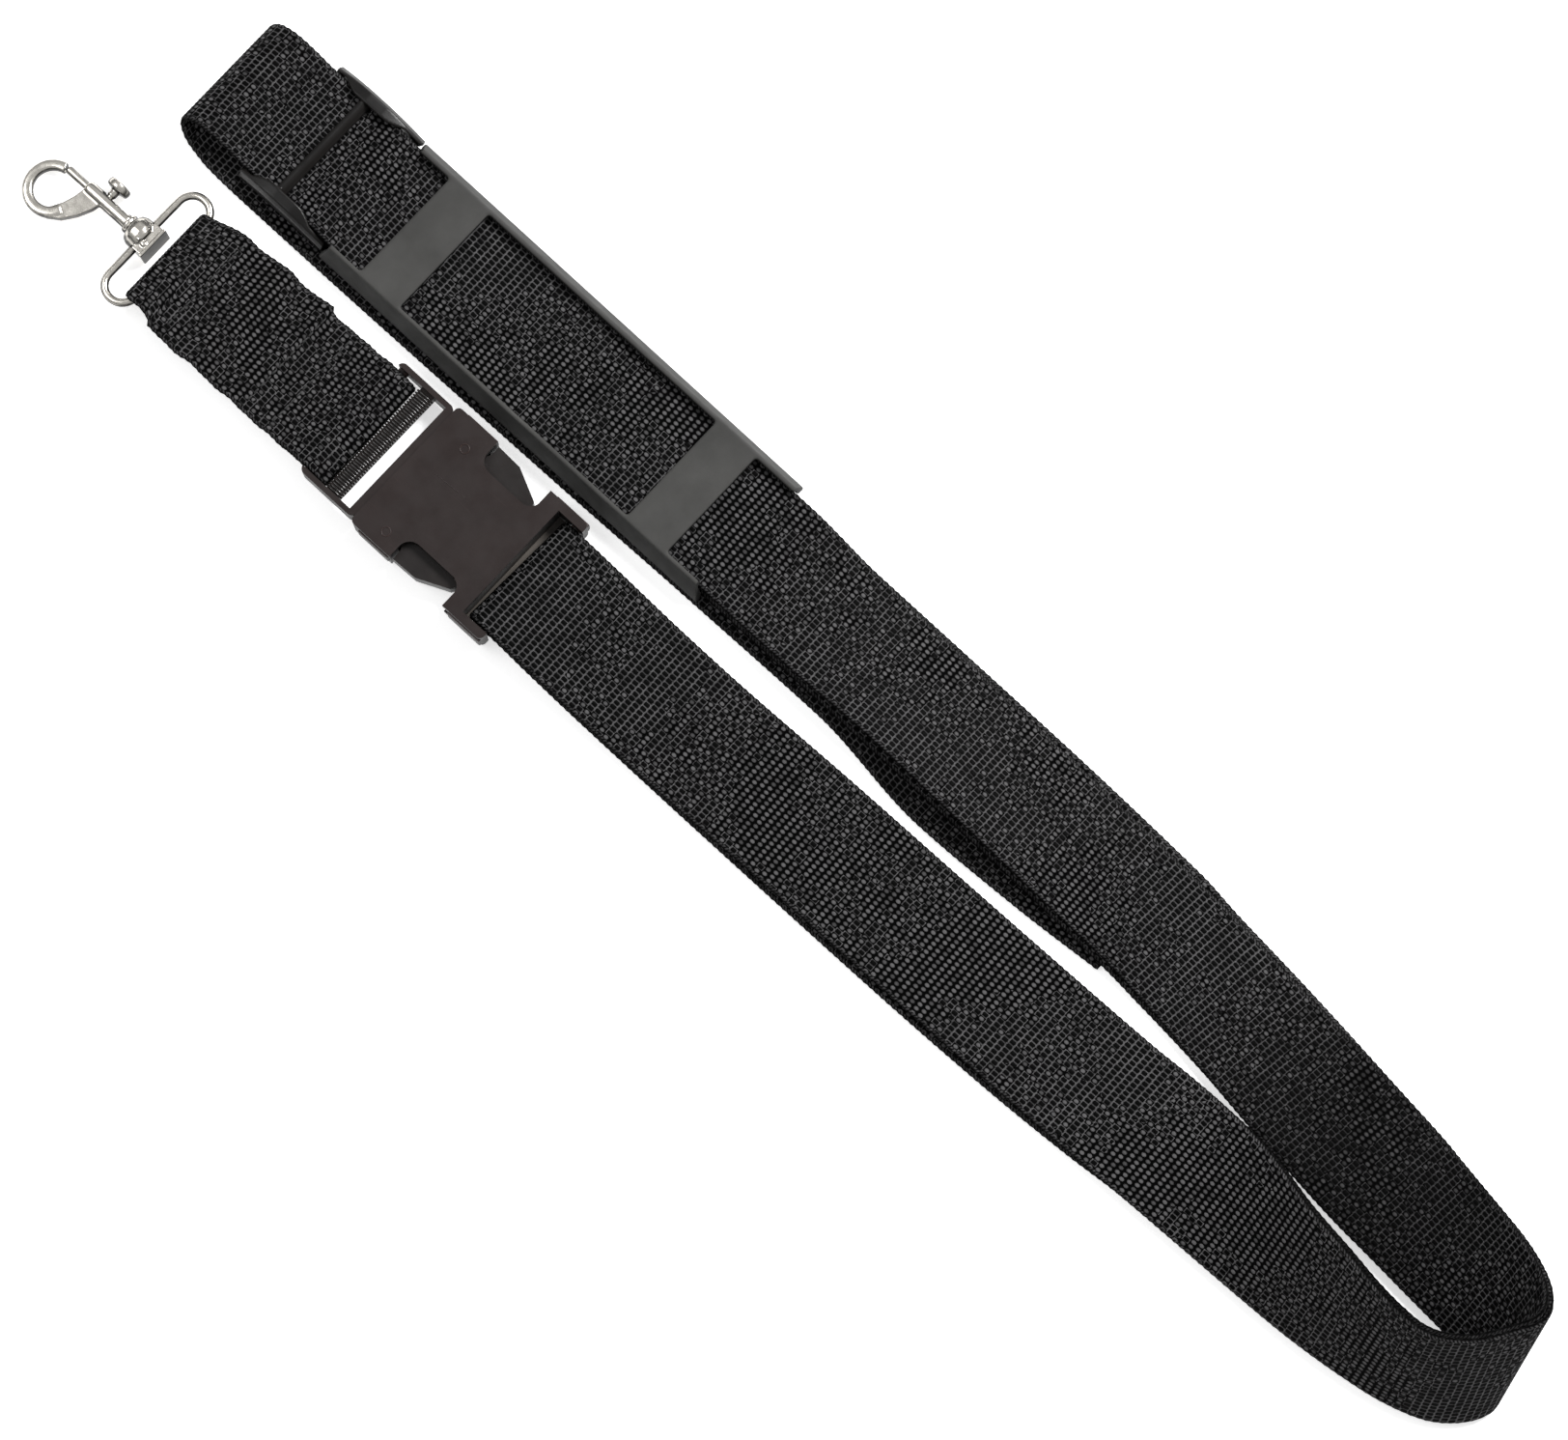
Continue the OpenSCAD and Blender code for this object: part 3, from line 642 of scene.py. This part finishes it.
def pucker(mesh, start, end, width, depth):
    """Presses a straight crease, given by its ends in lay-out X and Y, into the mesh's upper side."""
    points = vertices(mesh)
    a, b = (to_frame((*p, 0))[:2] for p in (start, end))
    t = np.clip((points[:, :2] - a) @ (b - a) / ((b - a) @ (b - a)), 0, 1)
    away = np.linalg.norm(points[:, :2] - (a + t[:, None] * (b - a)), axis=1)
    upper = points[:, 2] > 0.0048
    points[:, 2] -= np.where(upper, depth * MM * np.exp(-((away / (width * MM)) ** 2)), 0)
    mesh.vertices.foreach_set("co", points.ravel())


def vertices(mesh):
    flat_list = np.empty(3 * len(mesh.vertices))
    mesh.vertices.foreach_get("co", flat_list)
    return flat_list.reshape(-1, 3)


# ---------------------------------------------------------------- solids in lay-out millimetres
def skinned(rings, closed=False):
    """Points and faces of a solid through rings of points, one after another."""
    rings = np.asarray(rings, float)
    n, m = rings.shape[:2]
    i, k = np.meshgrid(np.arange(n if closed else n - 1), np.arange(m), indexing="ij")
    a, b = i * m + k, i * m + (k + 1) % m
    faces = np.stack([a, (a + m) % (n * m), (b + m) % (n * m), b], axis=-1).reshape(-1, 4).tolist()
    if not closed:
        faces += [list(range(m))[::-1], list(range((n - 1) * m, n * m))]
    return rings.reshape(-1, 3), faces


def round_outline(a, b, power=2.0, sides=28):
    """An ellipse with half axes a and b, or with a higher power a rounded rectangle."""
    angles = np.linspace(0, 2 * math.pi, sides, endpoint=False)
    c, s = np.cos(angles), np.sin(angles)
    x, y = (k * np.sign(t) * np.abs(t) ** (2 / power) for k, t in ((a, c), (b, s)))
    return np.stack([x, y], axis=1)


def sweep(path, outline, closed=False):
    """The outline, in side and height, carried along a level path."""
    path = np.asarray(path, float)
    ahead = np.roll(path, -1, axis=0) - np.roll(path, 1, axis=0) if closed else np.gradient(path, axis=0)
    ahead /= np.linalg.norm(ahead, axis=1)[:, None]
    side = np.cross(ahead, (0, 0, 1))
    side /= np.linalg.norm(side, axis=1)[:, None]
    up = np.cross(side, ahead)
    outline = np.broadcast_to(outline, (len(path), *np.shape(outline)[-2:]))
    rings = path[:, None] + side[:, None] * outline[..., :1] + up[:, None] * outline[..., 1:]
    return skinned(rings, closed)


def turned(profile, at=(0, 0, 0), axis=0, sides=40):
    """A solid of revolution about the X, Y or Z axis through at, from (place, radius) pairs."""
    angles = np.linspace(0, 2 * math.pi, sides, endpoint=False)
    place, radius = np.array(profile, float).T
    rings = np.zeros((len(profile), sides, 3))
    first, second = [k for k in range(3) if k != axis]
    rings[..., axis] = place[:, None]
    rings[..., first] = radius[:, None] * np.cos(angles)
    rings[..., second] = radius[:, None] * np.sin(angles)
    return skinned(rings + np.array(at, float))


def block(low, high):
    (x0, y0, z0), (x1, y1, z1) = low, high
    return skinned([[(x, y0, z0), (x, y1, z0), (x, y1, z1), (x, y0, z1)] for x in (x0, x1)])


def slab(outline, z0, z1):
    """A plate with the given outline in X and Y between two heights."""
    return skinned([[(x, y, z) for x, y in outline] for z in (z0, z1)])


def solid_object(name, parts):
    points, faces = [], []
    for p, f in parts:
        faces += [[k + len(points) for k in face] for face in f]
        points += [tuple(q) for q in p]
    mesh = make_mesh(name, points, faces)
    shape = bmesh.new()
    shape.from_mesh(mesh)
    bmesh.ops.recalc_face_normals(shape, faces=shape.faces)
    shape.to_mesh(mesh)
    shape.free()
    return add_object(name, mesh)


def fused(name, parts, voxel, relax=4, cut=()):
    """One even skin round overlapping solids, with the cut solids taken away and its edges softened."""
    obj = solid_object(name, parts)
    gone = []

    def skin():
        made = obj.modifiers.new("skin", "REMESH")
        made.mode, made.voxel_size, made.use_smooth_shade = "VOXEL", voxel, True

    skin()
    for solid in cut:
        gone.append(solid_object(name + "_cut", [solid]))
        hole = obj.modifiers.new("hole", "BOOLEAN")
        hole.operation, hole.object = "DIFFERENCE", gone[-1]
    if gone:
        skin()
    soft = obj.modifiers.new("soft", "SMOOTH")
    soft.factor, soft.iterations = 0.5, relax
    graph = bpy.context.evaluated_depsgraph_get()
    mesh = bpy.data.meshes.new_from_object(obj.evaluated_get(graph))
    for old in (obj, *gone):
        bpy.data.objects.remove(old)
    mesh.vertices.foreach_set("co", to_frame(vertices(mesh)).ravel())
    mesh.polygons.foreach_set("use_smooth", [True] * len(mesh.polygons))
    mesh.update()
    return add_object(name, mesh)


def plain(name, parts):
    """The solids as they are, smooth shaded with sharp edges kept."""
    obj = solid_object(name, parts)
    mesh = obj.data
    mesh.vertices.foreach_set("co", to_frame(vertices(mesh)).ravel())
    mesh.update()
    mesh.set_sharp_from_angle(angle=math.radians(40))
    return obj


def fit_in(obj, material, slot, body, *nodes):
    """Gives a piece its material, lets it ride a body and stand for CAD nodes; the slot is not used."""
    obj.data.materials.append(material)
    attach(obj, body)
    if nodes:
        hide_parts(*nodes)
    return obj


# ---------------------------------------------------------------- snap hook, loop and collar
def hooked(solid):
    """Moves a solid from the hook's own frame, which lies along X from the loop's back wire."""
    points, faces = solid
    a = -math.radians(TIP_ANGLE)
    c, s = math.cos(a), math.sin(a)
    turn = np.array([[c, 0, s], [0, 1, 0], [-s, 0, c]])
    return points @ turn.T + (LOOP_X, HOOK_Y, LOOP_Z), faces


def hook_body(material):
    """The open ring with its web, and the barrel with the bolt's bore and the slot for its button."""
    centre, radius = np.array([-42.3, -7.7]), 7.4
    angles = np.radians(np.linspace(98, 335, 60))
    ring = [(centre[0] + radius * math.cos(a), centre[1] + radius * math.sin(a), 0) for a in angles]
    thick = [round_outline(1.62 + 0.15 * t, 1.7, 3.4) for t in np.linspace(0, 1, 60) ** 2]
    web = [(-41.6, -16.3), (-37.5, -15.5), (-33.6, -12.9), (-30.6, -8.9), (-28.4, -4.4), (-27.6, -1),
           (-34.6, -1), (-35.2, -4.4), (-36.6, -8.6), (-38.6, -12)]
    barrel = [(-35.2, 0.6), (-35, 1.7), (-34.3, 2.15), (-33.2, 2.3), (-17.7, 2.3), (-17.5, 1.7),
              (-8.9, 1.7), (-8.8, 2.6), (-7.9, 2.6), (-7.7, 1)]
    bore = turned([(-43.9, 1.62), (-18.8, 1.62)])
    slot = block((-28.9, 0, -1.45), (-19, 5, 1.45))
    parts = [sweep(ring, np.array(thick)), slab(web, -1.3, 1.3), turned(barrel)]
    obj = fused("hook_casting", [hooked(p) for p in parts], 0.24, 3, [hooked(bore), hooked(slot)])
    fit_in(obj, material, "nickel", "hook", "hook_body")


def hook_bolt(material):
    """The bolt, and a round thumb button on a stem at its back end."""
    button_at = (-27.4, 0, 0)
    rod = turned([(-43.1, 0.9), (-42.8, 1.2), (-42.6, 1.3), (-26.6, 1.3), (-26.3, 1)])
    stem = turned([(0.2, 1.1), (2.2, 1.15), (2.7, 1.5), (4.2, 1.5), (4.6, 2), (4.9, 2.8)], button_at, 1)
    thumb = turned([(4.5, 2.2), (4.7, 3.5), (5.1, 3.9), (6, 4), (6.8, 3.9), (7.2, 3.5), (7.4, 2.2)],
                   button_at, 1)
    obj = fused("hook_bolt_and_stud", [hooked(p) for p in (rod, stem, thumb)], 0.16, 2)
    fit_in(obj, material, "nickel", "bolt", "hook_bolt")


def collar(material):
    """The swivel collar: a turned bell closed by a plate, hollow for the hook's peened shank."""
    body = turned([(-17.7, 1.9), (-17.7, 2.9), (-17.2, 3.15), (-16.6, 3.1), (-16.3, 2.8), (-15.9, 3.5),
                   (-15.2, 4.6), (-13.8, 5.2), (-11.6, 5.3), (-10.2, 5), (-9.4, 4.4), (-9.3, 2)])
    plate = block((-10.6, -5.1, -3.6), (-6.5, 5.1, 3.4))
    band = block((-11.3, -2.2, -4.6), (-9.9, 2.6, 4.75))
    lip = block((-7.2, -5.5, -3.9), (-6.2, 5.5, 4.0))
    rivet = turned([(2.8, 0.95), (3.6, 0.95), (3.85, 0.7), (3.95, 0.2)], (-8.6, -1.9, 0), 2, 20)
    shank = turned([(-19, 1.95), (-9.3, 1.95), (-9.2, 2.95), (-7.4, 2.95)])
    obj = fused("collar_casting", [hooked(p) for p in (body, plate, band, lip, rivet)], 0.17, 2,
                [hooked(shank)])
    fit_in(obj, material, "nickel", "loop_and_collar", "swivel_collar")


def wire_loop(material):
    """One wire bent to a long ring. Its two ends are held in the collar and its back run goes through
    the strap's fold."""
    reach, half, bend = 11.0, 20.3, 5.4
    turns = [(-reach / 2 + s * (reach / 2 - bend), t * (half - bend), start)
             for s, t, start in ((-1, -1, 180), (1, -1, 270), (1, 1, 0), (-1, 1, 90))]
    path = [(-reach, -2.6, 0)]
    for x, y, start in turns:
        path += [(x + bend * math.cos(a), y + bend * math.sin(a), 0)
                 for a in np.radians(np.linspace(start, start + 90, 16))]
    path.append((-reach, 2.6, 0))
    obj = plain("wire_loop", [hooked(sweep(path, round_outline(1.27, 1.27)))])
    fit_in(obj, material, "nickel", "loop_and_collar", "strap_loop")


# ---------------------------------------------------------------- slider, pad, buckle details, thread
def slider_frame(material):
    """Two arched rails, whose tops lean in over the strap's edges, a bevelled centre bar and two round
    bars."""
    mid_x, length = -211.0, 34.0
    parts = []
    for s in (-1, 1):
        rings = []
        for x in np.linspace(mid_x - length / 2, mid_x + length / 2, 41):
            top = min(11.3, -18.5 + math.sqrt(900 - (x - mid_x) ** 2))
            lean = 2.3 * np.clip((11.5 - abs(x - mid_x + 1)) / 5, 0, 1) ** 0.7
            inner = 20.3 - lean
            outline = [(22.9, 3), (22.7, top - 2.2), (21.6, top - 0.3), (inner + 0.4, top),
                       (inner, top - 0.5), (inner + 0.2, top - 1.1), (20.2, top - 2), (20.2, 5),
                       (21.4, 1.9), (22.3, 1.9)]
            rings.append([(x, SLIDER_Y + s * y, z) for y, z in outline])
        parts.append(skinned(rings))
    for x in (-226.5, RIGHT_BAR_X):
        parts.append(turned([(-21.7, 1.4), (21.7, 1.4)], (x, SLIDER_Y, RIGHT_BAR_Z), 1))
    bar = [(-215.7, 7.8), (-215.8, 9.5), (-215.3, 10.4), (-214.3, 10.6), (-213.4, 9.9), (-212.1, 8.3),
           (-212.2, 7.8)]
    parts.append(skinned([[(x, y, z) for x, z in bar] for y in (SLIDER_Y - 21.5, SLIDER_Y + 21.5)]))
    obj = fused("slider_frame", parts, 0.3, 2)
    fit_in(obj, material, "slider_plastic", "slider", "slider")


def shoulder_pad(material):
    """A tray with two bridges over the strap, moulded in one. Its rails' ends are slanted and worn
    round."""
    half, slant = 76.5, 6.0  # half the pad's length, and how far in from its ends the slant begins
    low_x, high_x = PAD_X - half, PAD_X + half + 1.5
    rail = [(23.5, 3.1), (23.3, 1.9), (21.4, 1.9), (20.5, 4), (20.4, 9.7), (19.2, 9.7), (19.2, 12.25),
            (20.6, 12.3)]
    parts = [skinned([[(x, PAD_Y + s * y, z) for y, z in rail] for x in (low_x, high_x)]) for s in (-1, 1)]
    parts.append(block((-179.3, PAD_Y - 21, 3.7), (-56, PAD_Y + 21, 7.4)))
    for x in (-179.3, -71):
        parts.append(block((x, PAD_Y - 20.2, 9.7), (x + 16, PAD_Y + 20.2, 12.3)))
    obj = fused("pad_moulding", parts, 0.46, 3)
    x, y, z = (vertices(obj.data) / MM + ORIGIN).T
    near = np.clip((x - (high_x - slant)) / slant, 0, 1)
    x -= near * np.where(y < PAD_Y, 0.26 * (z - 1.9), 0.05 * (z - 1.9))
    near = np.clip((low_x + slant - x) / slant, 0, 1)
    x += near * 0.3 * (z - 1.9)
    z += 0.06 * np.sin(x * 0.21) * np.sin(y * 0.17)
    obj.data.vertices.foreach_set("co", to_frame(np.stack([x, y, z], axis=1)).ravel())
    fit_in(obj, material, "pad_rubber", "pad", "shoulder_pad")


def circle_path(x, y, z, r, steps=40):
    turn = np.linspace(0, 2 * math.pi, steps, endpoint=False)
    return [(x + r * math.cos(a), y + r * math.sin(a), z) for a in turn]


def socket_details(material, wall):
    """Ejector rings, a scratch and side ledges on the socket, and the floor of its strap slot, painted
    lighter as a painted pool of light.
    """
    top = 12.0
    parts = [sweep(circle_path(-119.8, y, top, 1.4), round_outline(0.19, 0.16, sides=10), closed=True)
             for y in (-6.2, -40.0)]
    parts.append(sweep([(-121.7, -17.6, top - 0.02), (-116, -17.2, top), (-109.6, -16.9, top - 0.02)],
                       round_outline(0.1, 0.08, sides=8)))
    fit_in(plain("socket_marks", parts), material, "buckle_plastic", "socket_half")
    lip = [(-86.9, -0.9), (-82.8, -0.9), (-84.2, -12), (-85, -27), (-85, -42), (-86.9, -42)]
    fit_in(plain("socket_slot_wall", [slab(lip, 1.2, 2.4)]), wall, "buckle_plastic", "socket_half")
    ledges = []
    for s in (-1, 1):
        for x0, x1, z0, z1 in ((-126.6, -114.6, 2.8, 9.4), (-90.4, -77.6, 2.2, 9.6)):
            y = BUCKLE_Y + s * 23.1
            ledges.append(sweep([(x, y, (z0 + z1) / 2) for x in np.linspace(x0, x1, 12)],
                                round_outline(0.95, (z1 - z0) / 2, 4)))
    fit_in(fused("socket_ledges", ledges, 0.25, 2), material, "buckle_plastic", "socket_half")


def ladder_ribs(material):
    """The ribs over the plug's ladder bar, which grip the strap."""
    half, pitch = 19.9, 0.93
    over_bar = [(-142.9, 7.6), (-142.4, 8.35), (-141, 8.6), (-139, 8.6), (-137.7, 8.35), (-137.2, 7.6)]
    ribs = [sweep([(x, y, z) for x, z in over_bar], round_outline(0.33, 0.3, sides=10))
            for y in np.arange(BUCKLE_Y - half, BUCKLE_Y + half + 0.1, pitch)]
    fit_in(plain("ladder_ribs", ribs), material, "buckle_plastic", "plug_half")


def stitch_rows(name, material, rows, y0, y1, body, node):
    """Rows of thread across a strap, given by their X and height."""
    spindle = [(-1, 0.06), (-0.8, 0.26), (-0.3, 0.33), (0.3, 0.33), (0.8, 0.26), (1, 0.06)]
    parts = [turned(spindle, (x, y, z), 1, 10) for x, z in rows for y in np.arange(y0, y1, 2.6)]
    fit_in(plain(name, parts), material, "thread", body, node)


# ---------------------------------------------------------------- the CAD parts that stay
def rounded_cad(node, material, width=0.35, segments=3):
    """Rounds a CAD node's edges with modifiers and gives it its material."""
    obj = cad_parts[node]
    flat_faces = obj.modifiers.new("plain_faces", "DECIMATE")
    flat_faces.decimate_type, flat_faces.angle_limit = "DISSOLVE", math.radians(1.5)
    bevel = obj.modifiers.new("rounded_edges", "BEVEL")
    bevel.width, bevel.segments = width * MM, segments
    bevel.limit_method, bevel.angle_limit = "ANGLE", math.radians(35)
    obj.data.materials.clear()
    obj.data.materials.append(material)
    obj.data.polygons.foreach_set("use_smooth", [True] * len(obj.data.polygons))
    weights = obj.modifiers.new("normals", "WEIGHTED_NORMAL")
    weights.keep_sharp = True
    return obj


# ---------------------------------------------------------------- build
camera()
studio()
floor()
# The webbing's crown colour is the painted highlight of its floats; gap is the webbing's own black.
WEBBING = webbing_material("black_webbing", crown=(0.1, 0.098, 0.1), gap=(0.0006,) * 3)
THREAD = thread_material()
BUCKLE = moulded_material("buckle_plastic", (0.014, 0.0085, 0.0078), 0.42, scratches=0.4, painted_light=0.9)
LEVER = moulded_material("lever_plastic", (0.009, 0.0065, 0.006), 0.4, painted_light=0.9)
GLOSSY = moulded_material("ribbed_plastic", (0.006, 0.005, 0.0045), 0.16, specular=0.8)
# Painted light: the slot floor's plastic is painted far lighter than the buckle's own colour.
PAINTED_LIGHT_WALL = moulded_material("lit_plastic", (0.085, 0.075, 0.066), 0.35)
SLIDER = moulded_material("slider_plastic", (0.0045, 0.0041, 0.0039), 0.36, specular=0.3)
RUBBER = moulded_material("pad_rubber", (0.042, 0.0415, 0.0395), 0.72, grain=0.00003, painted_light=0.06)
NICKEL = metal_material("nickel", (0.82, 0.785, 0.72), 0.2, painted_side_shade=0.03)
STEEL = metal_material("spring_steel", (0.5, 0.5, 0.5), 0.3)

long_strap(WEBBING)
short_strap(WEBBING)
for node in ("socket", "plug_frame"):
    rounded_cad(node, BUCKLE, width=0.5)
for node in ("plug_arm_left", "plug_arm_right"):
    rounded_cad(node, LEVER, width=0.7, segments=4)
socket_details(BUCKLE, PAINTED_LIGHT_WALL)
ladder_ribs(GLOSSY)
slider_frame(SLIDER)
shoulder_pad(RUBBER)
hook_body(NICKEL)
hook_bolt(NICKEL)
collar(NICKEL)
wire_loop(NICKEL)
rounded_cad("bolt_spring", STEEL, width=0.1)
stitch_rows("short_strap_thread", THREAD, ((-211, 7.75), (-178, 6.95), (-168, 7.25)), -37.5, -6,
            "short_strap", "short_strap_stitching")
stitch_rows("sewn_end_thread", THREAD, ((-185.5, 5.2), (-183, 5.2)), 15, 49,
            "slider", "fixed_end_stitching")
